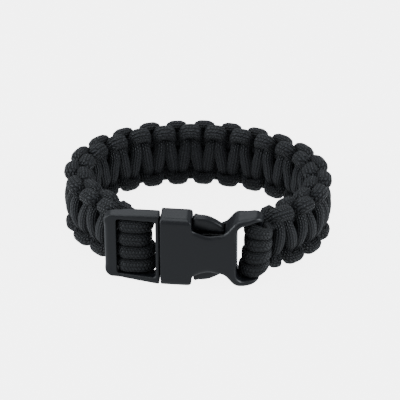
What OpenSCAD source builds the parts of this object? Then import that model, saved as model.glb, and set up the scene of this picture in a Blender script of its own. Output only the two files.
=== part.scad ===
// Paracord bracelet: a band of cobra knots in black cord, closed by a side-release buckle.
// The loop lies on its edge: Z runs across the band, the buckle faces -Y, the back of the loop is at +Y.

/* [Loop] */
// Width of the loop, measured along the middle of the band
loop_w = 78.6; // [66:0.2:96]
// How far the middle of the buckle lies to the left of the middle of the loop
buckle_left = 1.6; // [0:0.1:3]
// Length of band over which each end rises from the surface to the buckle's middle
rise_l = 26; // [20:1:40]

/* [Band] */
// Height across the band, over its edge loops
band_h = 21.5; // [18:0.1:23]
// Thickness of the band, over its edge loops
band_t = 8.4; // [7.4:0.1:9.4]
// Length of band that one half knot takes
knot_pitch = 4.5; // [4:0.05:5.2]
// Depth of the groove between two crossing bars of cord
groove = 1.5; // [0.6:0.1:2]
// Depth of the dip in the edge between two loops of cord
edge_dip = 1.9; // [0.6:0.1:2.4]
// How far the edge loops stand out over the crossing bars
loop_stand = 0.6; // [0:0.1:1]

/* [End cords] */
// Height of one cord where four lie side by side round a bar
cord_h = 4.65; // [3.8:0.05:4.75]
// Thickness of a cord pulled flat round a bar
cord_t = 2.6; // [2:0.1:3]
// Height of the cords where they enter the band, as a share of their height round the bar
draw_in = 0.76; // [0.65:0.01:1]
// Gap between pieces that lie side by side
fit_gap = 0.15; // [0.1:0.01:0.25]

/* [Buckle] */
// Height of the buckle across the band
buckle_w = 24.4; // [23.6:0.1:27]
// Radius of the gentle arch that the buckle's face follows
arch_r = 260; // [160:10:600]
// Seam between the two halves
seam = 0.35; // [0.2:0.05:0.6]
// Half height of the openings that the cords pass through
slot_half = 9.9; // [9.8:0.1:10.4]

/* [Female half] */
// Length of the housing with its tail
housing_l = 31.6; // [29:0.1:36]
// Thickness of the housing
housing_t = 9; // [8:0.1:10]
// Rounding of the housing's long edges
housing_r = 2; // [0.8:0.1:2.4]
// Length of the mouth, up to the release openings
mouth_l = 9.8; // [8:0.1:11]
// Thickness of the housing's front and back walls
wall_t = 1.5; // [1.1:0.1:1.8]
// Thickness of the mouth's side walls
side_wall = 2.4; // [1.8:0.1:2.8]
// Width of the waist between the two release openings
waist_w = 12.2; // [9:0.1:14]
// Length from the mouth to the waist's narrowest part
waist_l = 15.4; // [15:0.1:16.4]
// Depth of the release openings where they start, behind the mouth
shoulder_h = 4.2; // [3.8:0.1:4.6]
// Length of the cavity in the housing
cavity_l = 21.8; // [20:0.1:22.4]
// Length from the mouth to the opening in the tail
slot_from = 23.8; // [23.4:0.1:24.6]
// How far the tail's arms draw in where they meet the waist
tail_neck = 4.4; // [4:0.1:4.8]
// Radius of the tail's outer corners
tail_r = 5.2; // [4.4:0.1:5.6]
// Radius of the bar at the tail's end
end_bar_r = 1.4; // [1.1:0.05:1.6]
// How far the tail's bar lies behind the middle of the buckle
end_bar_depth = 2; // [1.6:0.1:2.2]
// How far the tail's arms fall back from the face at their ends
tail_fall = 3.8; // [1:0.1:4]

/* [Male half] */
// Length of the frame that stands outside the housing
frame_l = 17.5; // [16.8:0.1:21]
// Thickness of the frame
frame_t = 5; // [4.4:0.1:6]
// Rounding of the frame's long edges
frame_r = 1.5; // [0.6:0.1:1.9]
// Width of the frame's outer bar
outer_bar = 3.9; // [2.4:0.1:4.4]
// Width of the frame's bar beside the seam
seam_bar = 1.3; // [1:0.1:1.6]
// How much each side of the frame draws in towards its outer bar
frame_taper = 1; // [0:0.1:1.2]
// Rounding of the frame's outer end, in front
end_r = 1.6; // [0.8:0.1:2]
// Radius of the frame's outer corners
frame_corner_r = 4.6; // [3.8:0.1:5]
// Radius of the middle bar that carries the cords
middle_bar_r = 1.4; // [1.1:0.05:1.6]
// How far the middle bar lies from the window's middle towards the seam
bar_shift = 0.7; // [0:0.1:0.9]
// How far the middle bar lies behind the middle of the buckle
middle_bar_depth = 2.6; // [2.3:0.1:2.8]
// Running gap between the release arms and the housing
run_gap = 0.3; // [0.2:0.05:0.4]
// Length of the release arms and the tongue past the seam
arm_l = 19.8; // [17:0.1:20]
// Thickness of the release arms and the tongue
arm_t = 3.6; // [3:0.1:4.6]
// How far the release arms lie behind the middle of the housing
arm_back = 0.4; // [0:0.1:0.6]
// Length of the arms' roots, inside the mouth
root_l = 2.6; // [2:0.1:3]
// Half thickness of the frame's outer bar behind its middle, at its outer edge
bar_back_t = 1.1; // [0.9:0.1:1.6]

/* [Hidden] */
cord_color = [0.1, 0.1, 0.11];
plastic_color = [0.17, 0.17, 0.18];
$fn = 48;

// The loop's outline, seen from above: [angle, radius as a share of half the loop's width].
OUTLINE = [[-66, 0.845], [-48, 0.885], [-30, 0.940], [-10, 1.004], [15, 0.996], [45, 0.870],
    [70, 0.784], [90, 0.773], [110, 0.793], [135, 0.874], [165, 0.982], [190, 0.960],
    [210, 0.878], [228, 0.850], [246, 0.840]];
FEMALE_END = -45.8;
MALE_END = 228;
FRONT_SHARE = 0.823;

function row_of(a) = max(1, min(len(OUTLINE) - 3, len([for (r = OUTLINE) if (r[0] <= a) 1]) - 1));
function slope(i) = (OUTLINE[i + 1][1] - OUTLINE[i - 1][1]) / (OUTLINE[i + 1][0] - OUTLINE[i - 1][0]);
function hermite(p, q, mp, mq, t) =
    (2 * t ^ 3 - 3 * t ^ 2 + 1) * p + (t ^ 3 - 2 * t ^ 2 + t) * mp
    + (3 * t ^ 2 - 2 * t ^ 3) * q + (t ^ 3 - t ^ 2) * mq;
function share(a) =
    let (i = row_of(a), p = OUTLINE[i], q = OUTLINE[i + 1], d = q[0] - p[0])
    hermite(p[1], q[1], slope(i) * d, slope(i + 1) * d, (a - p[0]) / d);
function mid_at(a) = loop_w / 2 * share(a) * [cos(a), sin(a)];
function unit(v) = v / norm(v);
function tangent_at(a) = unit(mid_at(a + 0.5) - mid_at(a - 0.5));
function outward(t) = [t[1], -t[0]];

// Length along the middle of the band, from the female end to the male end: [length, angle].
ALONG = [for (a = FEMALE_END, s = 0; a <= MALE_END; s = s + norm(mid_at(a + 1) - mid_at(a)), a = a + 1) [s, a]];
band_l = ALONG[len(ALONG) - 1][0];
half_knots = 2 * round(band_l / knot_pitch / 2);
pitch = band_l / half_knots;

// Heights
buckle_mid = buckle_w / 2;
band_low_mid = band_h / 2;
function ease(t) = let (u = max(0, min(1, t))) u * u * (3 - 2 * u);
function band_mid(s) =
    buckle_mid + (band_low_mid - buckle_mid) * ease(min(s, band_l - s) / rise_l);

// Places along the buckle, in X, and its middle plane, in Y
buckle_l = frame_l + seam + housing_l;
seam_x = frame_l + seam / 2 - buckle_l / 2 - buckle_left;
buckle_y = -FRONT_SHARE * loop_w / 2;
arch_x = seam_x + housing_l * 0.4;
mouth_x = seam_x + seam / 2;
frame_x = seam_x - seam / 2;
end_bar = [mouth_x + housing_l - end_bar_r, buckle_y + end_bar_depth];
middle_bar = [frame_x - (frame_l - outer_bar + seam_bar) / 2 + bar_shift, buckle_y + middle_bar_depth];

// The band's surface. A loop lies on one edge and one face for two half knots, with its middle at
// a quarter of that; the loops of the other face and of the other edge stand half-way between.
STEPS = 4;
function wrap_angle(x) = x - 360 * floor((x + 180) / 360);
function loop_swell(x) = let (u = wrap_angle(x) / 165) sqrt(max(0, 1 - u * u));
function bar_swell(x) = let (u = wrap_angle(2 * x) / 180) sqrt(1 - 0.9 * u * u);
t_half = band_t / 2;
h_half = band_h / 2;

// One quarter of the outline from the middle of a face to the middle of an edge:
// [height share, thickness share, how far bars shape it, how far loops shape it]
QUARTER = [[0.00, 1.00, 1, 0], [0.30, 1.00, 1, 0], [0.54, 0.97, 1, 0], [0.70, 1.00, 0, 0.8],
    [0.90, 0.86, 0, 1.0], [1.00, 0.42, 0, 1.0]];
function face_point(q, phase, face, side) =
    let (swell = loop_swell(phase - (face * side > 0 ? 90 : 270)),
         lean = sin(phase) * face * side,
         depth = groove * (1 - 0.45 * lean * q[0]),
         low = t_half - loop_stand - depth * (1 - bar_swell(phase)),
         high = t_half - (1 - swell) * edge_dip * 0.8)
    [face * q[1] * (q[2] * low + (1 - q[2]) * high),
     side * q[0] * (h_half - (1 - swell) * q[3] * edge_dip)];
function edge_point(side) = [0, side * (h_half - edge_dip)];
LAST = len(QUARTER) - 1;
function section(phase) = concat(
    [for (j = [LAST:-1:0]) face_point(QUARTER[j], phase, 1, -1)],
    [for (j = [1:LAST]) face_point(QUARTER[j], phase, 1, 1)],
    [edge_point(1)],
    [for (j = [LAST:-1:0]) face_point(QUARTER[j], phase, -1, 1)],
    [for (j = [1:LAST]) face_point(QUARTER[j], phase, -1, -1)],
    [edge_point(-1)]);

// A closed skin over rings that all have the same number of points
function skin_faces(rings, n) = concat(
    [[for (j = [n - 1:-1:0]) j]],
    [[for (j = [0:n - 1]) (rings - 1) * n + j]],
    [for (i = [0:rings - 2], j = [0:n - 1], half = [0, 1])
        let (a = i * n + j, b = i * n + (j + 1) % n, c = a + n, d = b + n)
        half == 0 ? [a, d, c] : [a, b, d]]);

weave_rings = half_knots * STEPS + 1;
weave_points = [for (i = [0:weave_rings - 1])
    let (s = i * band_l / (weave_rings - 1), a = lookup(s, ALONG), m = mid_at(a),
         n = outward(tangent_at(a)), phase = 180 * (s / pitch - 0.5))
    for (p = section(phase)) [m[0] + n[0] * p[0], m[1] + n[1] * p[0], band_mid(s) + p[1]]];

// The whole part is moved so that the origin is under the middle of its bounding box.
xs = [for (p = weave_points) p[0]];
face_y = buckle_y - housing_t / 2;
back_y = max([for (p = weave_points) p[1]]);
middle = [(min(xs) + max(xs)) / 2, (face_y + back_y) / 2];
module place() translate([-middle[0], -middle[1], 0]) children();

module weave() color(cord_color) place()
    polyhedron(points = weave_points, faces = skin_faces(weave_rings, 4 * LAST + 4), convexity = 12);

// Outlines with rounded corners, from rows of [x, y, corner radius]
function corner(p, q, r) =
    let (u = unit([p[0] - q[0], p[1] - q[1]]), v = unit([r[0] - q[0], r[1] - q[1]]),
         half = acos(max(-1, min(1, u * v))) / 2,
         room = min(norm([p[0] - q[0], p[1] - q[1]]), norm([r[0] - q[0], r[1] - q[1]])) / 2,
         cut = min(q[2] / tan(half), room), rad = cut * tan(half),
         mid = [q[0], q[1]] + unit(u + v) * rad / sin(half),
         from = [q[0], q[1]] + u * cut - mid, to = [q[0], q[1]] + v * cut - mid,
         turn = wrap_angle(atan2(to[1], to[0]) - atan2(from[1], from[0])))
    q[2] == 0 ? [[q[0], q[1]]]
    : [for (k = [0:6]) mid + rad * [cos(atan2(from[1], from[0]) + turn * k / 6),
                                    sin(atan2(from[1], from[0]) + turn * k / 6)]];
function rounded(rows) = let (n = len(rows))
    [for (i = [0:n - 1]) each corner(rows[(i + n - 1) % n], rows[i], rows[(i + 1) % n])];
function mirrored(rows) = concat(rows, [for (i = [len(rows) - 1:-1:0]) [rows[i][0], -rows[i][1], rows[i][2]]]);

// A prism whose outline is drawn on the buckle's face, along X and across the band
module through(points, t) translate([0, buckle_y + t / 2, buckle_mid])
    rotate([90, 0, 0]) linear_extrude(t) polygon(points);
// A prism whose outline is drawn on the buckle's side, along X and through its thickness
module across(points) translate([0, buckle_y, -1]) linear_extrude(buckle_w + 2) polygon(points);

// A bar of the buckle's arch with rounded long edges. A body is made wider than its outline by a skim,
// which the outline takes off again, so that no two of its faces lie in one plane.
skim = 0.06;
frame_set = 0.02;
module arched(t, w, r)
    translate([arch_x, buckle_y + arch_r, buckle_mid]) rotate([0, 0, -102])
        rotate_extrude(angle = 24, $fn = 720) translate([arch_r, 0]) rounded_plate(t, w, r);
module rounded_plate(t, w, r) union() {
    square([t - 2 * r, w], center = true);
    square([t, w - 2 * r], center = true);
    for (i = [-1, 1], j = [-1, 1]) translate([i * (t / 2 - r), j * (w / 2 - r)]) circle(r);
}

tail_x = mouth_x + housing_l;
waist_x = mouth_x + waist_l;
slot_x = mouth_x + slot_from;
half_w = buckle_w / 2;
cavity_h = half_w - side_wall;
// Cutting shapes run past the body by this much
past = 1;
neck_l = 4.9;
flare_l = 8.4;
housing_outline = mirrored([[mouth_x, half_w, 0.4], [mouth_x + mouth_l, half_w, 1.8],
    [mouth_x + mouth_l, half_w - shoulder_h, 3.4], [waist_x, waist_w / 2 - 0.4, 6],
    [waist_x + neck_l, half_w - tail_neck, 3], [waist_x + flare_l, half_w, 3], [tail_x, half_w, tail_r]]);
slot_cut = 1.5;
slot_outline = mirrored([[slot_x, slot_half - slot_cut, 0.8], [slot_x + slot_cut, slot_half, 0.8],
    [tail_x + past, slot_half, 0]]);
cavity_taper = 3.6;
cavity_outline = mirrored([[mouth_x - past, cavity_h, 0], [mouth_x + cavity_l - cavity_taper, cavity_h, 0],
    [mouth_x + cavity_l, waist_w / 2 - 1, 0.5]]);
// The arms' front falls back along a curve, and their back along a straight line
fall_l = housing_l - slot_from + 1.4;
fall_x = tail_x - fall_l;
fall_bend = 1.5;
back_fall_t = 1.4;
FALL_STEPS = 8;
function fall(x) = tail_fall * ((x - fall_x) / fall_l) ^ fall_bend;
front_fall = concat([for (k = [0:FALL_STEPS]) let (x = fall_x + fall_l * k / FALL_STEPS) [x, fall(x) - housing_t / 2]],
    [[tail_x + past, fall(tail_x) - housing_t / 2], [tail_x + past, -housing_t], [fall_x, -housing_t]]);
back_fall = [[slot_x, housing_t / 2 + past], [slot_x, housing_t / 2], [tail_x + past, housing_t / 2 - back_fall_t],
    [tail_x + past, housing_t / 2 + past]];

module female_half() color(plastic_color) place() {
    difference() {
        intersection() {
            arched(housing_t, buckle_w + skim, housing_r);
            through(rounded(housing_outline), 3 * housing_t);
        }
        intersection() {
            arched(housing_t - 2 * wall_t, buckle_w, 0.4);
            through(rounded(cavity_outline), 3 * housing_t);
        }
        through(rounded(slot_outline), 3 * housing_t);
        across(front_fall);
        across(back_fall);
    }
    for (side = [-1, 1]) guide_rib(side);
    bar(end_bar, end_bar_r);
}

// A bar that runs across the opening and a little way into both sides
bar_root = 0.5;
module bar(place, r) translate([place[0], place[1], buckle_mid - slot_half - bar_root])
    cylinder(r = r, h = 2 * (slot_half + bar_root));

// A rib inside the waist that ties the two walls and guides the tongue
rib_t = 1;
rib_l = 9.9;
tongue_half = 2;
module guide_rib(side)
    translate([mouth_x + cavity_l + bar_root - rib_l, buckle_y - (housing_t - wall_t) / 2,
        buckle_mid + side * (tongue_half + run_gap + rib_t / 2) - rib_t / 2])
        cube([rib_l, housing_t - wall_t, rib_t]);

frame_end = frame_x - frame_l;
window_l = frame_end + outer_bar;
frame_outline = mirrored([[frame_end, half_w - frame_set - frame_taper, frame_corner_r], [frame_x, half_w - frame_set, 0.4]]);
window_outline = mirrored([[window_l, slot_half, 0.7], [frame_x - seam_bar, slot_half, 0.7]]);
// The frame's outer half is hollowed from behind: [distance from the seam, half thickness left]
HOLLOW = [[3, frame_t / 2], [frame_l + 1, bar_back_t]];
back_hollow = concat([for (row = HOLLOW) [frame_x - row[0], row[1]]],
    [for (row = [HOLLOW[1], HOLLOW[0]]) [frame_x - row[0], frame_t + 4]]);

// Release arms: the root sits in the mouth, the barb catches behind the mouth's side wall
root_half = cavity_h - run_gap;
barb_x = mouth_x + mouth_l + run_gap;
arm_tip = mouth_x + arm_l;
barb_l = 4.4;
barb_out = 1;
arm_w = 2.6;
arm_outline = rounded([[frame_x - 0.5, root_half, 0], [mouth_x + root_l, root_half, 0.5],
    [barb_x, root_half - 0.9, 0.4], [barb_x, cavity_h + barb_out, 0.8], [barb_x + barb_l, cavity_h + barb_out, 9],
    [arm_tip + 0.2, root_half - 1.9, 0.8], [arm_tip, root_half - arm_w - 0.4, 0.5],
    [arm_tip - 0.8, root_half - arm_w - 0.8, 0.4], [barb_x + 3, root_half - arm_w, 2],
    [mouth_x + root_l, root_half - arm_w, 0.8], [mouth_x + root_l, tongue_half, 0.8],
    [arm_tip - 1.2, tongue_half, 0.3], [arm_tip, tongue_half - 1.2, 0.3],
    [arm_tip, 0, 0], [frame_x - 0.5, 0, 0]]);

// The frame from the side: its front edge is rounded at the outer end, and the rest lies outside the arch
end_front = arch_sag(frame_end) - frame_t / 2;
end_slope = (arch_x - frame_end) / arch_r;
frame_side = [[frame_end, end_front, end_r], [frame_end, 2 * frame_t, 0], [frame_x + past, 2 * frame_t, 0],
    [frame_x + past, end_front - end_slope * (frame_l + past), 0]];

module male_half() color(plastic_color) place() {
    difference() {
        intersection() {
            arched(frame_t, buckle_w - 2 * frame_set + skim, frame_r);
            through(rounded(frame_outline), 3 * frame_t);
            across(rounded(frame_side));
        }
        through(rounded(window_outline), 3 * frame_t);
        translate([0, arch_sag(window_l), 0]) across(back_hollow);
    }
    for (side = [-1, 1]) translate([0, arm_back, side > 0 ? 0 : 2 * buckle_mid]) scale_side(side)
        through(arm_outline, arm_t);
    bar(middle_bar, middle_bar_r);
}
function arch_sag(x) = (x - arch_x) ^ 2 / (2 * arch_r);
module scale_side(side) if (side > 0) children(); else mirror([0, 0, 1]) children();

// End cords: four flattened cords side by side, each looped round a bar with both ends in the band
CORDS = 4;
cord_step = cord_h + fit_gap;
function turn_r(bar_r) = bar_r + fit_gap + cord_t / 2;
function around(c, r, from, to, n) = [for (k = [0:n]) let (a = from + (to - from) * k / n) c + r * [cos(a), sin(a)]];
function curve(p, q, r, n) = [for (k = [1:n]) let (t = k / n) (1 - t) ^ 2 * p + 2 * t * (1 - t) * q + t ^ 2 * r];
// Where a cord's leg meets the end of the band: out is 1 for the outer leg and -1 for the inner one
leg_out = cord_t / 2 + fit_gap;
function band_port(a, out, back) = let (t = tangent_at(a)) mid_at(a) + outward(t) * out * leg_out + t * back;

// A cord's route runs from the band's outer port round the bar to its inner port
LEG_STEPS = 4;
function reverse(v) = [for (k = [len(v) - 1:-1:0]) v[k]];
function inner_leg(ring, bend, port) = curve(ring[len(ring) - 1], bend, port, LEG_STEPS);

// The female end's outer legs leave the bar's far side
FEMALE_TURN = [-5, -215];
female_ring = around(end_bar, turn_r(end_bar_r), FEMALE_TURN[0], FEMALE_TURN[1], 13);
female_port = [band_port(FEMALE_END, 1, -fit_gap), band_port(FEMALE_END, -1, -fit_gap)];
female_route = concat(
    reverse(curve(female_ring[0], band_port(FEMALE_END, 1, -1.8), female_port[0], LEG_STEPS)), female_ring,
    inner_leg(female_ring, band_port(FEMALE_END, -1, -3.2), female_port[1]));

// The male end's outer legs run along the frame's face, then turn in behind its outer bar
MALE_TURN = [-95, 110];
male_ring = around(middle_bar, turn_r(middle_bar_r), MALE_TURN[0], MALE_TURN[1], 14);
male_port = [band_port(MALE_END, 1, fit_gap), band_port(MALE_END, -1, fit_gap)];
bar_corner = [window_l, buckle_y + arch_sag(window_l) + lookup(frame_x - window_l, HOLLOW)];
corner_r = cord_t / 2 + 2 * fit_gap;
CORNER_TURN = [60, -15];
corner_turn = around(bar_corner, corner_r, CORNER_TURN[0], CORNER_TURN[1], 4);
face_turn = [bar_corner[0] + corner_r, male_ring[0][1]];
male_route = concat(
    [male_port[0]],
    curve(male_port[0], band_port(MALE_END, 1, 1.4), corner_turn[0], LEG_STEPS),
    [for (k = [1:len(corner_turn) - 1]) corner_turn[k]],
    curve(corner_turn[len(corner_turn) - 1], face_turn, face_turn + [2.2, 0.1], LEG_STEPS), male_ring,
    inner_leg(male_ring, band_port(MALE_END, -1, 3), male_port[1]));

// The cord's section, [thickness share, height share], and its sweep along a flat route
CORD_SECTION = [[0.5, -0.3], [0.5, 0.3], [0.3, 0.5], [-0.3, 0.5], [-0.5, 0.3], [-0.5, -0.3], [-0.3, -0.5], [0.3, -0.5]];
function route_dir(p, i, ends) = i == 0 ? ends[0] : i == len(p) - 1 ? ends[1] : unit(p[i + 1] - p[i - 1]);
DRAW_STEPS = 7;
function drawn(i, n) = 1 - (1 - draw_in) * max(0, 1 - min(i, n - 1 - i) / DRAW_STEPS);
function cord_points(p, ends, z) = [for (i = [0:len(p) - 1])
    let (n = outward(route_dir(p, i, ends)) * cord_t, d = drawn(i, len(p)))
    for (c = CORD_SECTION) [p[i][0] + n[0] * c[0], p[i][1] + n[1] * c[0], buckle_mid + (z + c[1] * cord_h) * d]];
module end_cords(p, ends) color(cord_color) place() for (k = [0:CORDS - 1])
    let (z = (k - (CORDS - 1) / 2) * cord_step)
    polyhedron(points = cord_points(p, ends, z), faces = skin_faces(len(p), len(CORD_SECTION)), convexity = 4);

module female_end_cords() let (t = tangent_at(FEMALE_END)) end_cords(female_route, [-t, t]);
module male_end_cords() let (t = tangent_at(MALE_END)) end_cords(male_route, [t, -t]);

weave();
female_half();
male_half();
female_end_cords();
male_end_cords();
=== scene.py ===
"""A paracord bracelet: two strands of braided nylon cord tied in cobra knots, closed by a side-release buckle."""

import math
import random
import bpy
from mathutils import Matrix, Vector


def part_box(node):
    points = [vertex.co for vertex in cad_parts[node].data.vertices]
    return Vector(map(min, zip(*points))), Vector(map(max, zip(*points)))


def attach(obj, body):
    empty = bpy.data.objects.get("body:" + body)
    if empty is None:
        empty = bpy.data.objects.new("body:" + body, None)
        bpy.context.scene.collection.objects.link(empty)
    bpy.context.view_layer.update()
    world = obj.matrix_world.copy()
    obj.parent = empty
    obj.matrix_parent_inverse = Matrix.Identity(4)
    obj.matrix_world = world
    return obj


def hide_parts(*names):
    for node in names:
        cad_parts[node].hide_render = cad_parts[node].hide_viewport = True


bl_info = {
    "name": "Paracord Bracelet",
    "version": (1, 0, 0),
    "blender": (4, 5, 0),
    "location": "View3D > Sidebar > Bracelet",
    "description": "Ties the band of a paracord bracelet, finishes its buckle and sets up its studio",
    "category": "Add Mesh",
}

from bisect import bisect_right

import bmesh
import bpy
from bpy.props import FloatProperty, FloatVectorProperty, IntProperty, PointerProperty
from mathutils import Matrix, Vector

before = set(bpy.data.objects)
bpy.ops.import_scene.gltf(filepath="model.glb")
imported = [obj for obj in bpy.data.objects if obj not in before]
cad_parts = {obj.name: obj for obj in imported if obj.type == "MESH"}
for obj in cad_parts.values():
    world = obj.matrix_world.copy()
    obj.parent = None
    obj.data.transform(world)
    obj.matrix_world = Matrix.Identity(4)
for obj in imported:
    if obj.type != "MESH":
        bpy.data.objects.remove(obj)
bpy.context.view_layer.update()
MM = 0.001

# The loop's outline, seen from above: (angle in degrees, radius as a share of half the loop's width).
OUTLINE = (
    (-66, 0.845), (-48, 0.885), (-30, 0.940), (-10, 1.004), (15, 0.996), (45, 0.870), (70, 0.784), (90, 0.773),
    (110, 0.793), (135, 0.874), (165, 0.982), (190, 0.960), (210, 0.878), (228, 0.850), (246, 0.840),
)
# Where the band ends at each half of the buckle, as an angle in degrees
FEMALE_END = -45.8
MALE_END = 228
# Where the front of the loop lies, as a share of half its width
FRONT_SHARE = 0.823
# Cords side by side at each end of the band, which are also its core
END_CORDS = 4
# Gap between pieces that lie side by side
FIT_GAP = 0.15 * MM
# Colour of all the studio's light, a little cooler than white
DAYLIGHT = (0.90, 0.95, 1)


def linear(code):
    """The linear colour of an sRGB hex code."""
    values = [int(code[i : i + 2], 16) / 255 for i in (1, 3, 5)]
    return tuple(v / 12.92 if v <= 0.04045 else ((v + 0.055) / 1.055) ** 2.4 for v in values)


# ---------------- settings


def length(name, default, description):
    """A length setting, with its default in millimetres."""
    return FloatProperty(
        name=name, default=default * MM, description=description, subtype="DISTANCE", unit="LENGTH", precision=5
    )


def angle(name, default, description):
    """An angle setting, with its default in degrees."""
    return FloatProperty(
        name=name, default=math.radians(default), description=description, subtype="ANGLE", unit="ROTATION"
    )


def colour(name, code, description):
    """A colour setting, with its default as an sRGB hex code."""
    return FloatVectorProperty(
        name=name, default=linear(code), description=description, subtype="COLOR", size=3, min=0, max=1
    )


class BandSettings(bpy.types.PropertyGroup):
    loop_width: length("Loop Width", 78.6, "Width of the loop along the middle of the band")
    height: length("Height", 21.5, "Height across the band, over its edge loops")
    thickness: length("Thickness", 8.4, "Thickness of the band, over its edge loops")
    pitch: length("Knot Pitch", 4.5, "Length of band that one half knot takes")
    rise: length("Rise", 26, "Length of band over which each end rises to the buckle's middle")
    bar_width: length("Bar Width", 4.6, "Width of a cord where it crosses the band")
    bar_thickness: length("Bar Thickness", 3.6, "Thickness of a cord where it crosses the band")
    loop_stand: length("Loop Stand", 0.6, "How far the edge loops stand out over the crossing bars")
    loop_girth: length("Loop Girth", 5.2, "Width of a cord in an edge loop")
    loop_depth: length("Loop Depth", 3.9, "Thickness of a cord in an edge loop")
    bulge: length("Bulge", 1.1, "How far a crossing cord bulges out in its middle, on the outside")
    proud: length("Proud", 0.35, "How far the edge loops stand proud of the band's section")
    slack: length("Slack", 0.14, "How far one knot may differ from the next")


class CordSettings(bpy.types.PropertyGroup):
    diameter: length("Diameter", 4, "Diameter of the slack cord")
    end_height: length("End Height", 4.65, "Height of a cord where four lie side by side round a bar")
    end_thickness: length("End Thickness", 2.6, "Thickness of a cord pulled flat round a bar")
    draw_in: FloatProperty(
        name="Draw In", default=0.76, min=0.65, max=1,
        description="Height of the cords where they enter the band, as a share of their height round the bar",
    )
    yarns: IntProperty(
        name="Ribs", default=14, min=8, max=32, step=2,
        description="Ribs of stitches round the cord's sheath, an even number",
    )
    stitch: length("Stitch", 1.0, "Length of a stitch along the cord")
    yarn_colour: colour("Yarn", "#131519", "Colour of the sheath's yarns")
    # Painted shade: this near-black is painted into the grooves between the stitches, where shade falls.
    painted_shade_colour: colour("Between Yarns", "#030304", "Colour between the yarns")


class BuckleSettings(bpy.types.PropertyGroup):
    height: length("Height", 24.4, "Height of the buckle across the band")
    left: length("Left", 1.6, "How far the buckle's middle lies to the left of the loop's middle")
    seam: length("Seam", 0.35, "Seam between the two halves")
    housing_length: length("Housing Length", 31.6, "Length of the female half with its tail")
    housing_thickness: length("Housing Thickness", 9, "Thickness of the female half")
    mouth_length: length("Mouth Length", 9.8, "Length of the mouth, up to the release openings")
    frame_length: length("Frame Length", 17.5, "Length of the male half's frame")
    outer_bar: length("Outer Bar", 3.9, "Width of the frame's outer bar")
    seam_bar: length("Seam Bar", 1.3, "Width of the frame's bar beside the seam")
    bar_radius: length("Bar Radius", 1.4, "Radius of the bars that carry the cords")
    bar_shift: length("Bar Shift", 0.7, "How far the middle bar lies from the window's middle towards the seam")
    middle_bar_depth: length("Middle Bar Depth", 2.6, "How far the middle bar lies behind the middle of the buckle")
    end_bar_depth: length("End Bar Depth", 2, "How far the tail's bar lies behind the middle of the buckle")
    edge: length("Edge", 0.5, "Rounding of the moulding's edges")
    frame_taper: length("Frame Taper", 1.02, "How much each side of the frame draws in towards its outer bar")
    source_corner: length("Source Corner", 4.6, "Radius of the frame's outer corners in the CAD model")
    frame_corner: length("Frame Corner", 2.8, "Radius of the frame's outer corners")
    source_tail_corner: length("Source Tail Corner", 5.2, "Radius of the tail's outer corners in the CAD model")
    tail_corner: length("Tail Corner", 2.6, "Radius of the tail's upper corner")
    grid: length("Grid", 0.22, "Size of the even grid that the buckle's surface is rebuilt on")
    plastic_colour: colour("Plastic", "#121316", "Colour of the moulded plastic")


class StudioSettings(bpy.types.PropertyGroup):
    floor_colour: colour("Floor", "#EFEFEF", "Colour of the floor")
    azimuth: angle("Azimuth", 4.11, "Side from which the camera looks")
    elevation: angle("Elevation", 31.02, "Height of the camera over the horizon")
    distance: length("Distance", 610.1, "Distance from the camera to the bracelet")
    focal: FloatProperty(
        name="Focal Length", default=167.65, subtype="DISTANCE_CAMERA", unit="CAMERA",
        description="Focal length on a 36 mm sensor",
    )


# ---------------- the band's course


def outline_share(angle):
    """The loop's radius at an angle, as a share of half its width, on the source's own curve."""
    i = max(1, min(len(OUTLINE) - 3, bisect_right([row[0] for row in OUTLINE], angle) - 1))

    def slope(j):
        return (OUTLINE[j + 1][1] - OUTLINE[j - 1][1]) / (OUTLINE[j + 1][0] - OUTLINE[j - 1][0])

    (a, p), (b, q) = OUTLINE[i], OUTLINE[i + 1]
    t = (angle - a) / (b - a)
    return (
        (2 * t**3 - 3 * t**2 + 1) * p
        + (t**3 - 2 * t**2 + t) * slope(i) * (b - a)
        + (3 * t**2 - 2 * t**3) * q
        + (t**3 - t**2) * slope(i + 1) * (b - a)
    )


def ease(t):
    """Goes from 0 to 1 with a soft start and a soft end."""
    t = max(0.0, min(1.0, t))
    return t * t * (3 - 2 * t)


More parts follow.
